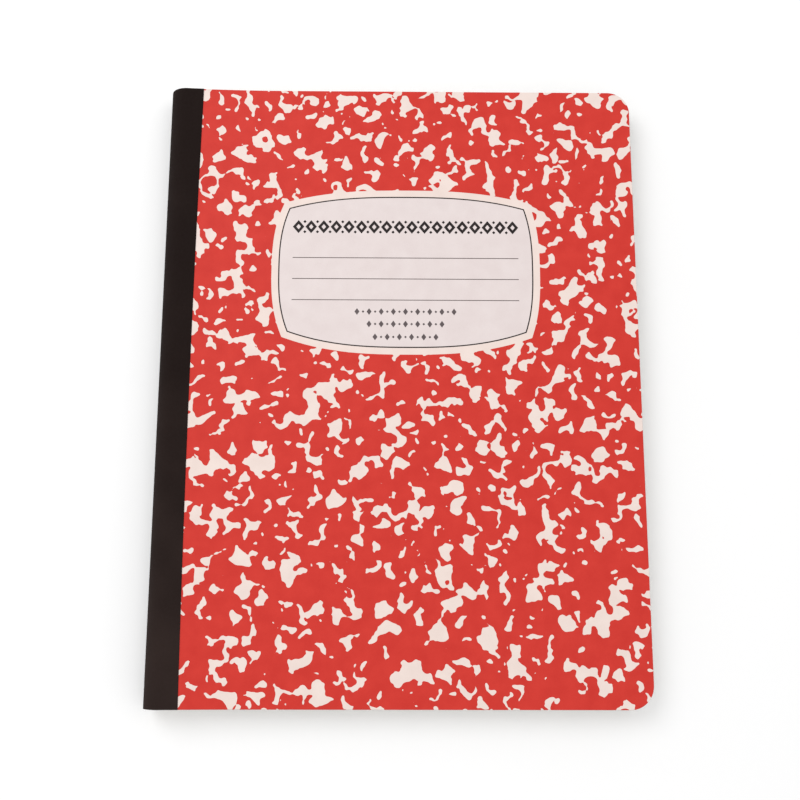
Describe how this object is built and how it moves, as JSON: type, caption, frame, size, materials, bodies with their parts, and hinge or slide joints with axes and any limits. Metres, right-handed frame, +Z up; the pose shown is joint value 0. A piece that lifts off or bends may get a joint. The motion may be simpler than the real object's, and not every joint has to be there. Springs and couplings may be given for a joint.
{
  "type": "composition notebook",
  "caption": "Sewn composition notebook with marbled card covers that open on a cloth-taped spine, rounded fore-edge corners and a blank label panel on the front.",
  "frame": {"origin": "middle of the closed book on the surface it lies on, bottom centre of its bounding box", "axes": "+X from the spine to the fore-edge, +Y from tail to head, +Z up through the front cover"},
  "size_m": [0.1905, 0.2476, 0.0132],
  "materials": {
    "marbled_board": "semi-gloss printed card, red with off-white marbling",
    "lining_paper": "matte white lining paper",
    "spine_cloth": "matte black book cloth",
    "pages": "matte white writing paper, ruled",
    "thread": "matte white cotton thread"
  },
  "bodies": {
    "text_block": {"page_block": "pages", "sewing_thread": "thread", "spine_cloth": "spine_cloth"},
    "front_cover": {"front_cover_board": "marbled_board", "front_lining_paper": "lining_paper", "front_cover_cloth": "spine_cloth"},
    "back_cover": {"back_cover_board": "marbled_board", "back_lining_paper": "lining_paper", "back_cover_cloth": "spine_cloth"}
  },
  "joints": [
    {"name": "front_cover_hinge", "type": "hinge", "parent": "text_block", "child": "front_cover", "pos_m": [-0.08812, 0, 0.01329], "axis": [0, -1, 0], "range_deg": [0, 179.9]},
    {"name": "back_cover_hinge", "type": "hinge", "parent": "text_block", "child": "back_cover", "pos_m": [-0.08812, 0, -0.00005], "axis": [0, 1, 0], "range_deg": [0, 179.9]}
  ]
}
